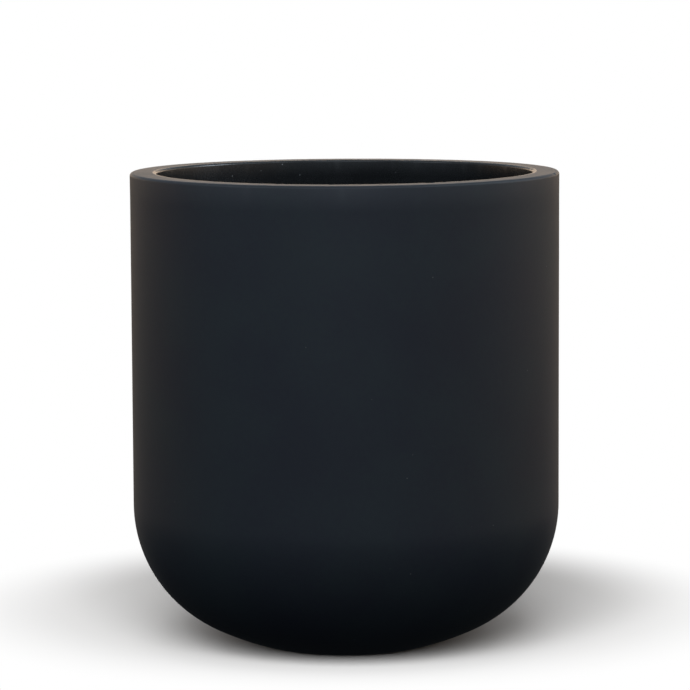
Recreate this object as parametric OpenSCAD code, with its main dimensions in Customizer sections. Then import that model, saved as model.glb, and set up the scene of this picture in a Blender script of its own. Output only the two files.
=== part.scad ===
// Empty candle jar: a round-bottomed ceramic tumbler with a matte glaze
// outside, a gloss liner glaze inside and a bare foot ring.
// Millimetres. +Z is up, and the origin is the centre of the foot, on the table.

/* [Vessel] */
// Outside diameter of the glazed jar
jar_d = 90; // [84:1:100]
// Height from the table to the rim
jar_h = 100; // [80:1:130]
// Thickness of the wall, clay and both glazes together
wall = 5.5; // [4:0.5:7]
// Outside radius of the heel, the round turn from wall to base
heel_r = 28.5; // [24:0.5:32]
// Outside radius of the shallow dome under the jar
dome_r = 67; // [62:1:80]
// Depth by which the dome is cut off flat to make the foot
dome_cut = 2.25; // [1.5:0.25:3]

/* [Rim] */
// Rounding of the rim's outer edge
rim_edge_r = 0.7; // [0.6:0.1:2]
// Rounding of the rim's inner lip
lip_r = 0.6; // [0.5:0.1:1]

/* [Floor and foot] */
// Height of the flat floor of the cavity above the table
floor_z = 6.5; // [5:0.5:9]
// Width of the bare clay ring that the jar stands on
foot_ring_w = 3.2; // [2.5:0.1:5]
// Depth of the recess inside that ring
recess_h = 1.2; // [1:0.1:2]
// Height of bare clay left below the outer glaze
bare_foot_h = 0.5; // [0.3:0.1:1]

/* [Glaze] */
// Thickness of every glaze coat
glaze_t = 0.4; // [0.3:0.05:0.5]
// Bare clay left between the recess wall and the underside glaze
patch_gap = 1; // [0.5:0.1:2]

/* [Hidden] */
$fn = 240;

jar_r = jar_d / 2;
mouth_r = jar_r - wall;
// Centre of the lip's rounding. The two glazes meet straight above it
lip_x = mouth_r + lip_r;
lip_z = jar_h - lip_r;

// The wall is equally thick round the heel and the dome, so the outside and the
// cavity turn about the same two centres: one on the axis, one in the heel.
heel_x = jar_r - heel_r;
dome_z = dome_r - dome_cut;
heel_z = dome_z - sqrt(pow(dome_r - heel_r, 2) - pow(heel_x, 2));
// Angle below level of the line through both centres, where the two arcs join
join_a = atan2(dome_z - heel_z, heel_x);
// The clay's dome meets the table at this radius, which is the ring's outside
foot_r = sqrt(pow(dome_r - glaze_t, 2) - pow(dome_z, 2));
recess_r = foot_r - foot_ring_w;
far = 2 * dome_r;

// Half section of the dome under a bowl, inset by d, out to its join with the heel
module dome_section(d) {
    translate([0, dome_z]) intersection() {
        circle(dome_r - d);
        polygon([[0, 0], [0, -far], far * [cos(join_a), -sin(join_a)]]);
    }
}

// Half section of a round-bottomed bowl, which is inset by d from the outside
// of the jar, flat at bottom_z and open-ended at top_z
module bowl_section(d, bottom_z, top_z) {
    intersection() {
        union() {
            dome_section(d);
            translate([heel_x, heel_z]) circle(heel_r - d);
            translate([0, heel_z]) square([jar_r - d, top_z - heel_z]);
        }
        translate([0, bottom_z]) square([jar_r, top_z - bottom_z]);
    }
}

// Half section of the jar without its cavity, its surface set back by d
module outside_section(d) {
    edge_x = jar_r - rim_edge_r;
    edge_z = jar_h - rim_edge_r;
    bowl_section(d, 0, edge_z);
    translate([0, edge_z]) square([edge_x, rim_edge_r - d]);
    translate([edge_x, edge_z]) circle(rim_edge_r - d);
}

// Half section of the cavity, its surface moved into the wall by d
module cavity_section(d) {
    bowl_section(wall - d, floor_z - d, lip_z);
    difference() {
        translate([0, lip_z]) square([lip_x, 2 * lip_r]);
        translate([lip_x, lip_z]) circle(lip_r - d);
    }
}

// Half section of the hollow under the jar, inside the foot ring
module recess_section() {
    square([recess_r, recess_h]);
}

// Half section of the clay, set back from every glazed surface
module clay_section() {
    difference() {
        outside_section(glaze_t);
        cavity_section(glaze_t);
        recess_section();
    }
}

// Half section of the cavity with the liner's thickness added to it, lip included
module lined_section() {
    bowl_section(wall - glaze_t, floor_z - glaze_t, lip_z);
    translate([0, lip_z]) square([lip_x, lip_r]);
}

module clay_body() {
    color("#3d3936") rotate_extrude() clay_section();
}

// Covers the clay from just above the table up to the flat top of the rim
module outer_glaze() {
    color("#2b2e33") rotate_extrude() difference() {
        outside_section(0);
        clay_section();
        cavity_section(0);
        lined_section();
        recess_section();
        square([jar_r, bare_foot_h]);
    }
}

// Covers the clay inside the cavity and round the inner lip
module liner_glaze() {
    color("#101316") rotate_extrude() difference() {
        lined_section();
        clay_section();
        cavity_section(0);
    }
}

module base_glaze() {
    color("#202327") translate([0, 0, recess_h - glaze_t])
        cylinder(r = recess_r - patch_gap, h = glaze_t);
}

clay_body();
outer_glaze();
liner_glaze();
base_glaze();
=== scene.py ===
"""Looks of the empty candle jar: its clay and glazes, a pale studio and the camera. Metres, +Z up."""

import math

import bmesh
import bpy
import numpy as np
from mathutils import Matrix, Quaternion, Vector


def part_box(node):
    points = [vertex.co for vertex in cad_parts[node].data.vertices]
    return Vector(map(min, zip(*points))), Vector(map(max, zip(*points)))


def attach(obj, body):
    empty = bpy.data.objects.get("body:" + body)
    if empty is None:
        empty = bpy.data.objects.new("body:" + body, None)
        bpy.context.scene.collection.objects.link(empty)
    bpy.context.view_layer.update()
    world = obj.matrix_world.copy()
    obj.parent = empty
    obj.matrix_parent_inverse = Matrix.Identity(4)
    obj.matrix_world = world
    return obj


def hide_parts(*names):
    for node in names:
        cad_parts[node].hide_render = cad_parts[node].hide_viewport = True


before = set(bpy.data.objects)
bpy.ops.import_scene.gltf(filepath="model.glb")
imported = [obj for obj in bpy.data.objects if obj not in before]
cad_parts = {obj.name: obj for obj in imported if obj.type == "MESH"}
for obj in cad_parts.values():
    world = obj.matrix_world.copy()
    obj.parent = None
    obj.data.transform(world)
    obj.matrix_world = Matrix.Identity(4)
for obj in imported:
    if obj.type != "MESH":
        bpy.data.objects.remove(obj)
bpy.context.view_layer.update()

MM = 0.001

# Sizes of the section that the CAD model has too, and that no node's box gives
HEEL_R = 28.5 * MM
DOME_R = 67 * MM
DOME_CUT = 2.25 * MM
RIM_EDGE_R = 0.7 * MM
LIP_R = 0.6 * MM
RECESS_R = 12.4 * MM

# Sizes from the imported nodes
outer_low, outer_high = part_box("outer_glaze")
liner_low, liner_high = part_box("liner_glaze")
clay_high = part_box("clay_body")[1]
patch_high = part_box("base_glaze")[1]
JAR_R = outer_high.x
JAR_H = outer_high.z
GLAZE_T = JAR_R - clay_high.x
MOUTH_R = liner_high.x - LIP_R
WALL = JAR_R - MOUTH_R
FLOOR_Z = liner_low.z + GLAZE_T
LIP_X, LIP_Z = MOUTH_R + LIP_R, JAR_H - LIP_R
FLAT_X = JAR_R - RIM_EDGE_R
FOOT_LINE_Z = outer_low.z
RECESS_H = patch_high.z
PATCH_R = patch_high.x

# Centres of the heel's and the dome's arcs, shared by the outside and the cavity
HEEL_X = JAR_R - HEEL_R
DOME_Z = DOME_R - DOME_CUT
HEEL_Z = DOME_Z - math.sqrt((DOME_R - HEEL_R) ** 2 - HEEL_X**2)
JOIN_A = math.atan2(DOME_Z - HEEL_Z, HEEL_X)

SHARP_ANGLE = math.radians(40)

# Unevenness of the fired pot: how deep its waves, dips and nicks go, and how far its lines wander
OUTER_WAVE = 0.10 * MM
LINER_WAVE = 0.16 * MM
RIM_SAG = 0.16 * MM
RIM_DIP = 0.05 * MM
NICKS = 60
DEEPEST = 0.8 * GLAZE_T
SEAM_STEP = 0.02 * MM
SEAM_SWING = 0.35 * MM
FOOT_SWING = 0.45 * MM


# ---------------------------------------------------------------- outlines, as (r, z) points


def arc(x, z, r, a0, a1, count):
    """Points along an arc about (x, z) from angle a0 to a1, both ends included."""
    return [(x + r * math.cos(a), z + r * math.sin(a)) for a in np.linspace(a0, a1, count)]


def line(start, end, count):
    """Points between start and end, both left out."""
    return [tuple(p) for p in np.linspace(start, end, count + 2)[1:-1]]


def bowl(inset, low_z, rings):
    """Dome and heel at inset from the outside, from height low_z up to the foot of the straight wall."""
    low_a = -math.asin((DOME_Z - low_z) / (DOME_R - inset))
    dome = arc(0, DOME_Z, DOME_R - inset, low_a, -JOIN_A, rings // 4)
    heel = arc(HEEL_X, HEEL_Z, HEEL_R - inset, -JOIN_A, 0, rings)
    return dome + heel[1:]


def rim(inset, rings):
    """Rim at inset below its surface, from the top of the outside wall to the flat's inner end."""
    edge = arc(FLAT_X, JAR_H - RIM_EDGE_R, RIM_EDGE_R - inset, 0, math.pi / 2, rings)
    end = (LIP_X + SEAM_STEP, JAR_H - inset)
    return edge + line(edge[-1], end, rings // 2) + [end]


def lip(inset, rings):
    """Lip at inset below its surface, from the cavity's wall up to the flat's inner end."""
    end = (LIP_X + SEAM_STEP, JAR_H - inset)
    return arc(LIP_X, LIP_Z, LIP_R - inset, math.pi, math.pi / 2, rings) + [end]


# ---------------------------------------------------------------- meshes of revolution


def waves(seed, count, turns, rise):
    """A smooth field of angle and height, between 0 and 1, made of count waves with seeded phases."""
    rng = np.random.default_rng(seed)
    parts = []
    for _ in range(count):
        parts.append((rng.integers(1, turns + 1), rng.uniform(-rise, rise), rng.uniform(0, math.tau)))

    def field(angle, z):
        total = sum(np.cos(m * angle + k * z / JAR_H + phase) / math.sqrt(m) for m, k, phase in parts)
        return 0.5 + 0.5 * total / sum(1 / math.sqrt(m) for m, k, phase in parts)

    return field


def spin(outline, segments):
    """Grid of points [ring, segment, xyz] of an outline turned about Z."""
    angles = np.linspace(0, math.tau, segments, endpoint=False)
    r, z = np.array(outline).T
    grid = np.empty((len(outline), segments, 3))
    grid[..., 0] = r[:, None] * np.cos(angles)
    grid[..., 1] = r[:, None] * np.sin(angles)
    grid[..., 2] = z[:, None]
    return grid, angles


def mesh_piece(name, grid, loop):
    """A closed mesh piece from a grid. A loop joins its last ring to its first; else both ends are poles."""
    rings, segments = grid.shape[:2]
    bm = bmesh.new()
    rows = []
    for i in range(rings):
        if not loop and i in (0, rings - 1):
            rows.append([bm.verts.new(grid[i].mean(axis=0))] * segments)
        else:
            rows.append([bm.verts.new(p) for p in grid[i]])
    pairs = list(zip(rows, rows[1:])) + ([(rows[-1], rows[0])] if loop else [])
    for low, high in pairs:
        for j in range(segments):
            k = (j + 1) % segments
            corners = dict.fromkeys((low[j], low[k], high[k], high[j]))
            bm.faces.new(list(corners)).smooth = True
    bmesh.ops.recalc_face_normals(bm, faces=bm.faces)
    mesh = bpy.data.meshes.new(name)
    bm.to_mesh(mesh)
    bm.free()
    mesh.set_sharp_from_angle(angle=SHARP_ANGLE)
    piece = bpy.data.objects.new(name, mesh)
    bpy.context.scene.collection.objects.link(piece)
    return piece


def outline_normals(outline):
    """Unit normals (r, z) to the right of an outline's direction of travel."""
    p = np.array(outline)
    along = np.gradient(p, axis=0)
    along /= np.linalg.norm(along, axis=1)[:, None]
    return np.stack([along[:, 1], -along[:, 0]], axis=1)


def push(grid, angles, direction, amount):
    """Moves the grid by amount [ring, segment] along each ring's direction (r, z)."""
    grid[..., 0] += amount * direction[:, 0, None] * np.cos(angles)
    grid[..., 1] += amount * direction[:, 0, None] * np.sin(angles)
    grid[..., 2] += amount * direction[:, 1, None]


def bump_at(values, centre, width):
    """A bell curve of the given width about centre."""
    return np.exp(-(((values - centre) / width) ** 2))


def slide_seam(grid, angles):
    """Slides the rings of the rim's flat outwards, so that the seam of the two glazes wanders on it."""
    radius = np.hypot(grid[..., 0], grid[..., 1])
    on_flat = np.clip((FLAT_X - radius) / (FLAT_X - LIP_X), 0, 1) * (radius > LIP_X + 0.5 * SEAM_STEP)
    out = SEAM_SWING * waves(seed=11, count=9, turns=23, rise=0)(angles, 0)[None, :]
    out = out * on_flat * (grid[..., 2] > LIP_Z)
    grid[..., 0] += out * np.cos(angles)
    grid[..., 1] += out * np.sin(angles)


def rim_wear(r, z, angles):
    """Depth of the rim's slight sag at front and back, and of its dips and nicks, for rings at r and z."""
    dips = RIM_DIP * waves(seed=5, count=12, turns=40, rise=0)(angles, 0) + RIM_SAG * np.sin(angles) ** 2
    depth = dips[None, :] * np.clip((z - JAR_H) / RIM_EDGE_R + 1, 0, 1)
    rng = np.random.default_rng(8)
    for _ in range(NICKS):
        where = rng.uniform(0, math.tau)
        turn = (angles - where + math.pi) % math.tau - math.pi
        across = rng.choice([MOUTH_R + 0.25 * LIP_R, JAR_R - 0.3 * RIM_EDGE_R], p=[0.65, 0.35])
        size = rng.uniform(0.2, 0.7) * MM
        deep = rng.uniform(0.04, 0.16) * MM
        on_rim = bump_at(r, across, 0.35 * MM) * bump_at(z, JAR_H, 0.5 * MM)
        depth = depth + deep * on_rim * bump_at(turn * across, 0, size)[None, :]
    return np.minimum(depth, DEEPEST)


def outer_glaze():
    """Matte glaze: a shell over the outside and the rim's flat, uneven by hundredths, nicked at its edge."""
    seen = bowl(0, FOOT_LINE_Z, 28)
    seen += line(seen[-1], (JAR_R, JAR_H - RIM_EDGE_R), 14) + rim(0, 11)
    hidden = rim(GLAZE_T, 6)[::-1]
    hidden += line(hidden[-1], (JAR_R - GLAZE_T, HEEL_Z), 2) + bowl(GLAZE_T, FOOT_LINE_Z, 16)[::-1]
    grid, angles = spin(seen + hidden, 720)
    r, z = np.array(seen).T[:, :, None]
    n = len(seen)

    unevenness = OUTER_WAVE * waves(seed=3, count=14, turns=9, rise=9)(angles[None, :], z)
    unevenness *= np.clip((JAR_H - z) / (2 * MM), 0, 1)
    push(grid[:n], angles, -outline_normals(seen), unevenness + rim_wear(r, z, angles))

    foot_wave = FOOT_SWING * waves(seed=21, count=10, turns=17, rise=0)(angles, 0)[None, :]
    near_foot = np.clip(1 - (np.array(seen + hidden)[:, 1, None] - FOOT_LINE_Z) / (2.5 * MM), 0, 1)
    outward = np.array([[0.97, 0.25]] * len(grid))
    push(grid, angles, outward, foot_wave * near_foot)
    slide_seam(grid, angles)
    return mesh_piece("matte_outer_glaze", grid, loop=True)


def liner_glaze():
    """Gloss glaze: a bowl-shaped shell that lines the cavity and rounds the lip."""
    seen = [(0, FLOOR_Z)] + bowl(WALL, FLOOR_Z, 28)
    seen[1:1] = line(seen[0], seen[1], 8)
    seen += line(seen[-1], (MOUTH_R, LIP_Z), 22) + lip(0, 11)
    back = [(0, FLOOR_Z - GLAZE_T)] + bowl(WALL - GLAZE_T, FLOOR_Z - GLAZE_T, 16)
    back += line(back[-1], (MOUTH_R + GLAZE_T, LIP_Z), 3) + lip(GLAZE_T, 5)
    grid, angles = spin(seen + back[::-1], 720)
    r, z = np.array(seen).T[:, :, None]
    n = len(seen)
    fade = np.clip((z - FLOOR_Z) / (6 * MM), 0, 1) * np.clip((LIP_Z - z) / MM, 0, 1)
    depth = LINER_WAVE * fade * waves(seed=31, count=16, turns=12, rise=16)(angles[None, :], z)
    depth += np.clip((z - LIP_Z) / LIP_R, 0, 1) * rim_wear(r, z, angles)
    push(grid[:n], angles, outline_normals(seen), depth)
    slide_seam(grid, angles)
    return mesh_piece("gloss_liner_glaze", grid, loop=False)


def clay_body():
    """Bare clay: the wall under the glazes, and the foot ring and recess that show below."""
    edge = 0.3 * MM
    recess = [(0, RECESS_H)] + line((0, RECESS_H), (RECESS_R - edge, RECESS_H), 6)
    recess += arc(RECESS_R - edge, RECESS_H - edge, edge, math.pi / 2, 0, 5)
    ring_in = arc(RECESS_R + edge, edge, edge, math.pi, 1.5 * math.pi, 6)
    outside = bowl(GLAZE_T, 0.12 * MM, 24)
    ring_out = [(outside[0][0] - 0.5 * MM, 0)]
    ring = line(ring_in[-1], ring_out[0], 5)
    shoulder = (JAR_R - GLAZE_T, JAR_H - RIM_EDGE_R)
    cavity = bowl(WALL - GLAZE_T, FLOOR_Z - GLAZE_T, 24)
    outline = recess + ring_in + ring + ring_out + outside + line(outside[-1], shoulder, 3)
    top = rim(GLAZE_T, 5) + lip(GLAZE_T, 5)[-2::-1]
    outline += top + line(top[-1], cavity[-1], 3) + cavity[::-1]
    outline += line(cavity[0], (0, FLOOR_Z - GLAZE_T), 2) + [(0, FLOOR_Z - GLAZE_T)]
    grid, angles = spin(outline, 360)
    rings = np.array(outline)
    below = (rings[:, 1] < 1.5 * MM) & (rings[:, 0] > 3 * MM)
    wave = waves(seed=41, count=12, turns=30, rise=4)(angles[None, :], rings[:, 1, None])
    lathe = 0.5 + 0.5 * np.sin(rings[:, 0] / (0.55 * MM))
    under = (below & (rings[:, 1] > 0.5 * MM))[:, None]
    grid[..., 2] += 0.05 * MM * np.where(under, 0.6 * wave + 0.4 * lathe[:, None], 0)
    return mesh_piece("fired_clay_body", grid, loop=False)


def base_glaze():
    """Glaze patch inside the foot ring: a low pool with a rounded, wandering edge."""
    bead = 0.5 * GLAZE_T
    low = RECESS_H - GLAZE_T
    face = [(0, low + 0.1 * MM)] + line((0, low + 0.1 * MM), (PATCH_R - 4 * bead, low + 0.03 * MM), 8)
    edge = arc(PATCH_R - bead, low + bead, bead, 1.5 * math.pi, 2 * math.pi, 7)
    back = [(PATCH_R - 0.5 * bead, RECESS_H), (0.5 * PATCH_R, RECESS_H), (0, RECESS_H)]
    outline = face + edge + back
    grid, angles = spin(outline, 360)
    shrink = 1 - 0.06 * waves(seed=51, count=10, turns=11, rise=0)(angles, 0)[None, :, None]
    grid[..., :2] *= shrink
    return mesh_piece("underside_glaze_patch", grid, loop=False)


# ---------------------------------------------------------------- materials


class Tree:
    """Short forms for building a node tree."""

    def __init__(self, owner):
        owner.use_nodes = True
        self.nodes = owner.node_tree.nodes
        self.links = owner.node_tree.links
        self.nodes.clear()

    def add(self, kind, settings=None, **inputs):
        """A node with attributes from settings; an input is a value, or an output socket to link."""
        node = self.nodes.new("ShaderNode" + kind)
        for key, value in (settings or {}).items():
            setattr(node, key, value)
        for key, value in inputs.items():
            socket = node.inputs[key.replace("_", " ")]
            if isinstance(value, bpy.types.NodeSocket):
                self.links.new(value, socket)
            else:
                socket.default_value = value
        return node

    def noise(self, place, per_mm, detail=3.0, roughness=0.5):
        """Noise from 0 to 1 with about per_mm features in a millimetre."""
        node = self.add("TexNoise", Vector=place, Scale=per_mm / MM, Detail=detail, Roughness=roughness)
        return node.outputs["Fac"]

    def ramp(self, value, low, high, to_low=0.0, to_high=1.0, smooth=True):
        """Maps value from low..high to to_low..to_high, held at its ends."""
        kind = "SMOOTHSTEP" if smooth else "LINEAR"
        node = self.add("MapRange", {"interpolation_type": kind}, Value=value)
        for key, number in zip(("From Min", "From Max", "To Min", "To Max"), (low, high, to_low, to_high)):
            node.inputs[key].default_value = number
        return node.outputs["Result"]

    def math(self, operation, a, b):
        """One sum of two numbers or sockets."""
        node = self.add("Math", {"operation": operation})
        for socket, value in zip(node.inputs, (a, b)):
            if isinstance(value, bpy.types.NodeSocket):
                self.links.new(value, socket)
            else:
                socket.default_value = value
        return node.outputs[0]

    def mix(self, factor, a, b):
        """Mix of two colours, each an RGB triple or a socket."""
        node = self.add("Mix", {"data_type": "RGBA"})
        self.links.new(factor, node.inputs[0])
        for socket, value in zip((node.inputs[6], node.inputs[7]), (a, b)):
            if isinstance(value, bpy.types.NodeSocket):
                self.links.new(value, socket)
            else:
                socket.default_value = (*value, 1)
        return node.outputs[2]

    def specks(self, place, spacing_mm, size_mm, share):
        """Round specks, 1 inside and 0 outside, in a share of the cells of a loose grid."""
        node = self.add("TexVoronoi", Vector=place, Scale=1 / (spacing_mm * MM))
        near = self.ramp(node.outputs["Distance"], 0.6 * size_mm / spacing_mm, size_mm / spacing_mm, 1, 0)
        split = self.add("SeparateColor", Color=node.outputs["Color"])
        picked = self.math("LESS_THAN", split.outputs["Red"], share)
        return self.math("MULTIPLY", near, picked)


def glaze_material(name, dark, light, roughness, grain, speck_colour, speck_spacing, rim_sheen=1.0):
    """A black glaze with a mottle, fine grain and a few specks. grain is the bump's depth in metres.

    The specks gather in places and are about speck_spacing millimetres apart. The roughness is
    multiplied by rim_sheen on the flat top of the rim.
    """
    material = bpy.data.materials.new(name)
    tree = Tree(material)
    place = tree.add("TexCoord").outputs["Object"]
    cloud = tree.noise(place, 0.05, detail=4, roughness=0.6)
    mottle = tree.noise(place, 0.9, detail=5, roughness=0.65)
    fine = tree.noise(place, 4.0, detail=4, roughness=0.7)
    tone = tree.math("ADD", tree.math("MULTIPLY", cloud, 0.6), tree.math("MULTIPLY", mottle, 0.4))
    colour = tree.mix(tree.ramp(tone, 0.35, 0.65), dark, light)
    specks = tree.specks(place, speck_spacing, 0.16, 0.6)
    specks = tree.math("MULTIPLY", specks, tree.ramp(cloud, 0.45, 0.6))
    colour = tree.mix(specks, colour, speck_colour)
    low, high = roughness
    rough = tree.ramp(tree.math("ADD", tree.math("MULTIPLY", cloud, 0.4), tree.math("MULTIPLY", fine, 0.6)),
                      0.3, 0.7, low, high, smooth=False)
    level = tree.add("SeparateXYZ", Vector=place).outputs["Z"]
    on_rim = tree.ramp(level, JAR_H - 0.6 * MM, JAR_H - 0.2 * MM, 1.0, rim_sheen)
    rough = tree.math("MULTIPLY", rough, on_rim)
    height = tree.math("ADD", tree.math("MULTIPLY", mottle, 0.6), tree.math("MULTIPLY", fine, 0.4))
    height = tree.math("SUBTRACT", height, tree.math("MULTIPLY", specks, 0.8))
    bump = tree.add("Bump", Height=height, Strength=1.0, Distance=grain)
    shader = tree.add("BsdfPrincipled", Base_Color=colour, Roughness=rough, Normal=bump.outputs["Normal"])
    shader.inputs["IOR"].default_value = 1.5
    tree.add("OutputMaterial", Surface=shader.outputs["BSDF"])
    return material


def clay_material():
    """Bare fired charcoal stoneware: grain, pale grog, and pores painted near black as painted shade in
    their pits.
    """
    material = bpy.data.materials.new("bare_stoneware")
    tree = Tree(material)
    place = tree.add("TexCoord").outputs["Object"]
    cloud = tree.noise(place, 0.12, detail=4)
    grit = tree.noise(place, 3.0, detail=6, roughness=0.75)
    colour = tree.mix(tree.ramp(cloud, 0.35, 0.65), (0.060, 0.053, 0.048), (0.105, 0.093, 0.083))
    colour = tree.mix(tree.ramp(grit, 0.45, 0.75), colour, (0.15, 0.135, 0.12))
    grog = tree.specks(place, 1.1, 0.12, 0.35)
    colour = tree.mix(grog, colour, (0.30, 0.27, 0.235))
    # Pores: pits dented into the bump, and painted near black as painted shade inside the pits
    pits_and_painted_shade = tree.specks(place, 1.6, 0.15, 0.4)
    colour = tree.mix(pits_and_painted_shade, colour, (0.012, 0.011, 0.010))
    height = tree.math("SUBTRACT", grit, tree.math("MULTIPLY", pits_and_painted_shade, 0.7))
    bump = tree.add("Bump", Height=height, Strength=1.0, Distance=0.05 * MM)
    rough = tree.ramp(grit, 0.3, 0.7, 0.78, 0.95, smooth=False)
    shader = tree.add("BsdfPrincipled", Base_Color=colour, Roughness=rough, Normal=bump.outputs["Normal"])
    tree.add("OutputMaterial", Surface=shader.outputs["BSDF"])
    return material


# ---------------------------------------------------------------- the jar

MATTE = glaze_material("matte_black_glaze", (0.0125, 0.0155, 0.0245), (0.0145, 0.0215, 0.0275),
                       (0.44, 0.56), 0.012 * MM, (0.12, 0.12, 0.12), 4.0, rim_sheen=0.8)
GLOSS = glaze_material("gloss_black_glaze", (0.0060, 0.0070, 0.0082), (0.0095, 0.0108, 0.0122),
                       (0.20, 0.32), 0.010 * MM, (0.45, 0.45, 0.46), 2.1)
PATCH = glaze_material("underside_matte_glaze", (0.014, 0.016, 0.019), (0.022, 0.024, 0.028),
                       (0.42, 0.58), 0.020 * MM, (0.09, 0.085, 0.08), 2.5)
CLAY = clay_material()

PIECES = [
    (clay_body(), CLAY, "clay_body", "bare_clay"),
    (outer_glaze(), MATTE, "outer_glaze", "matte_glaze"),
    (liner_glaze(), GLOSS, "liner_glaze", "gloss_glaze"),
    (base_glaze(), PATCH, "base_glaze", "base_glaze"),
]
for piece, material, node, slot in PIECES:
    piece.data.materials.append(material)
    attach(piece, "root")
    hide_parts(node)


# ---------------------------------------------------------------- the studio

LIGHT_CENTRE = Vector((0, 0, 0.5 * JAR_H))
COOL = (0.88, 0.99, 1.10)
WARM = (1.0, 0.77, 0.57)
FLOOR_GREY = 0.54
SHADOW_CENTRE = (0, 0.04, 0)


def studio_floor():
    """A round white cove, grey enough near the jar to show its shadow. Only the camera sees it."""
    flat_r, bend_r, wall_h = 1.2, 0.8, 2.0
    outline = [(0, 0)] + line((0, 0), (flat_r, 0), 6)
    outline += arc(flat_r, bend_r, bend_r, 1.5 * math.pi, 2 * math.pi, 16) + [(flat_r + bend_r, wall_h)]
    angles = np.linspace(0, math.tau, 96, endpoint=False)
    bm = bmesh.new()
    centre = bm.verts.new((0, 0, 0))
    rows = [[centre] * len(angles)]
    rows += [[bm.verts.new((r * math.cos(a), r * math.sin(a), z)) for a in angles] for r, z in outline[1:]]
    for low, high in zip(rows, rows[1:]):
        for j in range(len(angles)):
            k = (j + 1) % len(angles)
            bm.faces.new(list(dict.fromkeys((low[j], low[k], high[k], high[j])))).smooth = True
    mesh = bpy.data.meshes.new("studio_floor")
    bm.to_mesh(mesh)
    bm.free()
    floor = bpy.data.objects.new("studio_floor", mesh)
    bpy.context.scene.collection.objects.link(floor)
    material = bpy.data.materials.new("studio_white")
    tree = Tree(material)
    place = tree.add("TexCoord").outputs["Object"]
    reach = tree.add("VectorMath", {"operation": "DISTANCE"})
    tree.links.new(place, reach.inputs[0])
    reach.inputs[1].default_value = SHADOW_CENTRE
    away = tree.ramp(reach.outputs["Value"], 0.055, 0.095)
    near = tree.add("BsdfDiffuse", Color=(*[FLOOR_GREY / c for c in COOL], 1))
    far = tree.add("Emission", Color=(1, 1, 1, 1), Strength=1.0)
    both = tree.add("MixShader", Fac=away)
    tree.links.new(near.outputs[0], both.inputs[1])
    tree.links.new(far.outputs[0], both.inputs[2])
    tree.add("OutputMaterial", Surface=both.outputs[0])
    floor.data.materials.append(material)
    floor.visible_diffuse = False
    floor.visible_glossy = False
    floor.visible_shadow = False
    return floor


def studio_world():
    """Even cool light from above, a warm band along the horizon behind, and hardly any from below."""
    world = bpy.data.worlds.new("studio")
    tree = Tree(world)
    direction = tree.add("TexCoord").outputs["Generated"]
    split = tree.add("SeparateXYZ", Vector=direction)
    right, back, height = (split.outputs[axis] for axis in "XYZ")
    sky = tree.ramp(height, -0.03, 0.03)
    ground = tree.ramp(height, -0.03, 0.03, 1, 0)
    around = tree.math("ADD", tree.ramp(back, -0.2, 0.6, 0.0, 0.85), tree.ramp(right, 0.4, 0.9, 0.0, 0.35))
    around = tree.math("ADD", around, tree.ramp(back, 0.8, 0.98, 0.0, 0.6))
    high = tree.math("MULTIPLY", tree.math("MULTIPLY", around, tree.ramp(height, 0.05, 0.28, 1, 0)), sky)
    low = tree.math("MULTIPLY", tree.ramp(back, 0.6, 1.0, 0.0, 0.36), tree.ramp(height, -0.4, -0.1))
    band = tree.math("ADD", high, tree.math("MULTIPLY", low, ground))
    rest = tree.math("ADD", tree.math("MULTIPLY", sky, 0.40),
                     tree.math("MULTIPLY", ground, tree.ramp(back, -0.9, 0.0, 0.08, 0.01)))
    strength = tree.math("ADD", band, rest)
    colour = tree.mix(tree.ramp(band, 0.0, 0.4), COOL, WARM)
    light = tree.add("Background", Color=colour, Strength=strength)
    white = tree.add("Background", Color=(1, 1, 1, 1), Strength=1.0)
    camera_ray = tree.add("LightPath").outputs["Is Camera Ray"]
    both = tree.add("MixShader", Fac=camera_ray)
    tree.links.new(light.outputs[0], both.inputs[1])
    tree.links.new(white.outputs[0], both.inputs[2])
    tree.add("OutputWorld", Surface=both.outputs[0])
    bpy.context.scene.world = world


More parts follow.
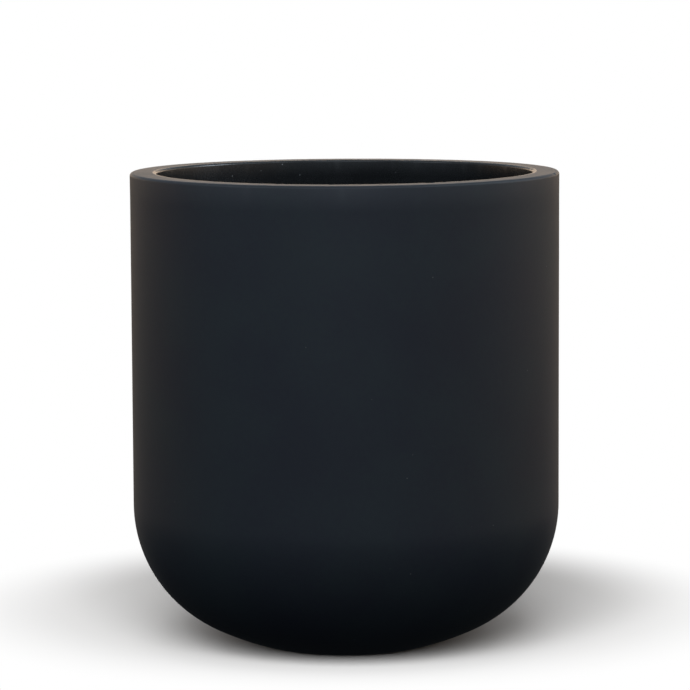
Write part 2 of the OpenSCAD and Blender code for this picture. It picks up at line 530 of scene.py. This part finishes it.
def softbox(name, azimuth, elevation, distance, size, power, lit):
    """A square area light on the objects in lit, its azimuth in degrees to the right of the camera."""
    across, up = math.radians(azimuth), math.radians(elevation)
    way = Vector((math.sin(across) * math.cos(up), -math.cos(across) * math.cos(up), math.sin(up)))
    light = bpy.data.lights.new(name, "AREA")
    light.size = size
    light.energy = power
    light.color = COOL
    lamp = bpy.data.objects.new(name, light)
    lamp.location = LIGHT_CENTRE + distance * way
    lamp.rotation_euler = (-way).to_track_quat("-Z", "Y").to_euler()
    lamp.visible_camera = False
    lamp.light_linking.receiver_collection = lit
    bpy.context.scene.collection.objects.link(lamp)


def lit_group(name, objects):
    """The objects that some of the softboxes are kept to."""
    group = bpy.data.collections.new(name)
    for item in objects:
        group.objects.link(item)
    return group


def camera():
    """A long lens a little above the rim, looking slightly down, with a trace of roll."""
    distance, above_rim = 16.5 * JAR_R, 1.0617 * JAR_R
    pitch, roll = math.radians(6.498), math.radians(-0.294)
    data = bpy.data.cameras.new("camera")
    data.sensor_width = 36
    data.lens = 184.92
    data.shift_x = -0.0005
    data.clip_start = 0.01
    data.clip_end = 20
    view = bpy.data.objects.new("camera", data)
    view.location = (0, -distance, JAR_H + above_rim)
    view.rotation_mode = "QUATERNION"
    tilt = Vector((0, math.cos(pitch), -math.sin(pitch))).to_track_quat("-Z", "Y")
    view.rotation_quaternion = tilt @ Quaternion((0, 0, 1), roll)
    bpy.context.scene.collection.objects.link(view)
    bpy.context.scene.camera = view


jar_group = lit_group("lit_jar", [piece for piece, *_ in PIECES])
liner_group = lit_group("lit_liner", [PIECES[2][0]])
floor_group = lit_group("lit_floor", [studio_floor()])
studio_world()
softbox("front", azimuth=0, elevation=38, distance=0.4, size=0.27, power=0.24, lit=jar_group)
softbox("left", azimuth=-60, elevation=35, distance=0.4, size=0.2, power=0.17, lit=jar_group)
softbox("right", azimuth=60, elevation=45, distance=0.4, size=0.2, power=0.15, lit=jar_group)
softbox("side", azimuth=100, elevation=30, distance=0.4, size=0.2, power=0.17, lit=jar_group)
softbox("inside", azimuth=95, elevation=25, distance=0.9, size=0.3, power=2.0, lit=liner_group)
softbox("floor_front", azimuth=-5, elevation=28, distance=0.9, size=0.6, power=18.6, lit=floor_group)
softbox("floor_top", azimuth=0, elevation=75, distance=0.9, size=0.45, power=1.6, lit=floor_group)
camera()
bpy.context.scene.view_settings.view_transform = "Standard"
